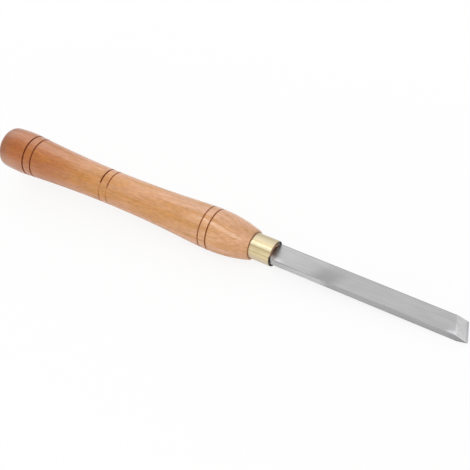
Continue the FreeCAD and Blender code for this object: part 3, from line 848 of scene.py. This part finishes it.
# Each lamp: its name, the direction it stands in, how far off, its length and width, its radiance,
# and how far its length is turned from along the tool
LAMPS = (
    ("key", (-0.24, -0.38, 0.892), 1.19, (0.93, 0.26), 3.3, -41),
    ("back_softbox", (-0.66, 0.46, 0.6), 3.0, (1.9, 2.1), 0.75, 0),
)
LAMPS_AIM = Vector((-0.05, 0, 0))
TOOL_LENGTHWAYS = Vector((1, 0, 0))

# Blender spreads a lamp's power over four times its area to get its radiance
AREAS_LIT = 4


def light_world():
    """White to the camera. Its light is dimmer, and so are reflections of the camera's side."""
    world = bpy.data.worlds.new("studio")
    world.use_nodes = True
    studio = Nodes(world.node_tree)
    toward = studio.add("ShaderNodeTexCoord", {}).outputs["Generated"]
    _, depth, height = studio.parts(toward)
    camera_side = studio.times(studio.ease(depth, *CAMERA_SIDE_DEPTH),
                               studio.ease(height, *CAMERA_SIDE_HEIGHT))
    reflected = studio.ease(camera_side, 0.0, 1.0, 1.0, CAMERA_SIDE_LEVEL)
    seen, mirrored = studio.seen()
    strength = studio.ease(mirrored, 0.0, 1.0, 1.0, reflected)
    strength = studio.ease(seen, 0.0, 1.0, WORLD_LEVEL, strength)
    background = world.node_tree.nodes["Background"]
    background.inputs["Color"].default_value = (1, 1, 1, 1)
    studio.feed(background.inputs["Strength"], strength)
    bpy.context.scene.world = world


def area_lamp(name, direction, distance, size, radiance, across):
    """A soft lamp that looks at the tool from a direction."""
    data = bpy.data.lights.new(name, "AREA")
    data.shape = "RECTANGLE"
    data.size, data.size_y = size
    data.energy = AREAS_LIT * radiance * size[0] * size[1]
    lamp = bpy.data.objects.new(name, data)
    toward = Vector(direction).normalized()
    lamp.location = LAMPS_AIM + toward * distance
    width = toward.cross(TOOL_LENGTHWAYS).normalized()
    turn = Matrix((width.cross(toward), width, toward)).transposed()
    turn = turn @ Matrix.Rotation(math.radians(across), 3, "Z")
    lamp.rotation_euler = turn.to_euler()
    bpy.context.scene.collection.objects.link(lamp)


# Floor

FLOOR_HALF = 4.0
FLOOR_WHITE = 0.86
FLOOR_ROUGHNESS = 0.9

# Near the tool, the camera sees a small share of the floor as it is lit, which keeps a faint
# shadow, and the floor's own white light makes up the rest. In the tool's metal and lacquer it is
# seen as it is lit. Further off, the floor's own light is all that is seen of it.
FLOOR_SEEN = 0.14
FLOOR_MIRRORED = 1.0
SHADOW_REACH = 0.4

# Corners of the blade this near to its lowest one touch the floor as well
LEVEL_WITHIN = 0.01 * MM


def lay_floor():
    """A pale floor on which the tool lies as it would: on its front bulge and the blade's end."""
    blade = nodes["blade"].data.vertices
    low = min(vertex.co.z for vertex in blade)
    toe = max((vertex.co for vertex in blade if vertex.co.z < low + LEVEL_WITHIN),
              key=lambda corner: corner.x)
    slope = max((toe.z - vertex.co.z) / (toe.x - vertex.co.x)
                for vertex in nodes["handle"].data.vertices)
    mesh = bpy.data.meshes.new("floor")
    corners = [(-1, -1), (1, -1), (1, 1), (-1, 1)]
    mesh.from_pydata([(x * FLOOR_HALF, y * FLOOR_HALF, 0) for x, y in corners], [],
                     [(0, 1, 2, 3)])
    floor = bpy.data.objects.new("floor", mesh)
    floor.location = toe
    floor.rotation_euler.y = -math.atan(slope)
    bpy.context.scene.collection.objects.link(floor)
    mesh.materials.append(floor_paint())


def floor_paint():
    """Near white for the light that falls on it, and white to the camera."""
    paint = Paint("floor")
    seen, mirrored = paint.seen()
    place = paint.add("ShaderNodeNewGeometry", {}).outputs["Position"]
    along, across, _ = paint.parts(place)
    past_end = paint.sum("MAXIMUM", paint.sum("SUBTRACT", along, cad_box[1].x),
                         paint.sum("SUBTRACT", cad_box[0].x, along))
    away = paint.length(paint.join(paint.sum("MAXIMUM", past_end, 0.0), across))
    near = paint.ease(mirrored, 0.0, 1.0, FLOOR_SEEN, FLOOR_MIRRORED)
    lit = paint.ease(away, 0.0, SHADOW_REACH, near, 0.0)
    lit_white = paint.join(lit, lit, lit)
    white = paint.mix(seen, (FLOOR_WHITE,) * 3, lit_white)
    paint.finish(Base_Color=white, Roughness=FLOOR_ROUGHNESS, Specular_IOR_Level=0.0)
    own = paint.times(seen, paint.sum("SUBTRACT", 1.0, lit))
    glow = paint.add("ShaderNodeEmission", {"Strength": own})
    both = paint.add("ShaderNodeAddShader", {0: paint.shader.outputs[0], 1: glow.outputs[0]})
    paint.feed(paint.tree.nodes["Material Output"].inputs["Surface"], both.outputs[0])
    return paint.material


place_camera()
light_world()
for lamp in LAMPS:
    area_lamp(*lamp)
lay_floor()
bpy.context.scene.view_settings.view_transform = "Standard"
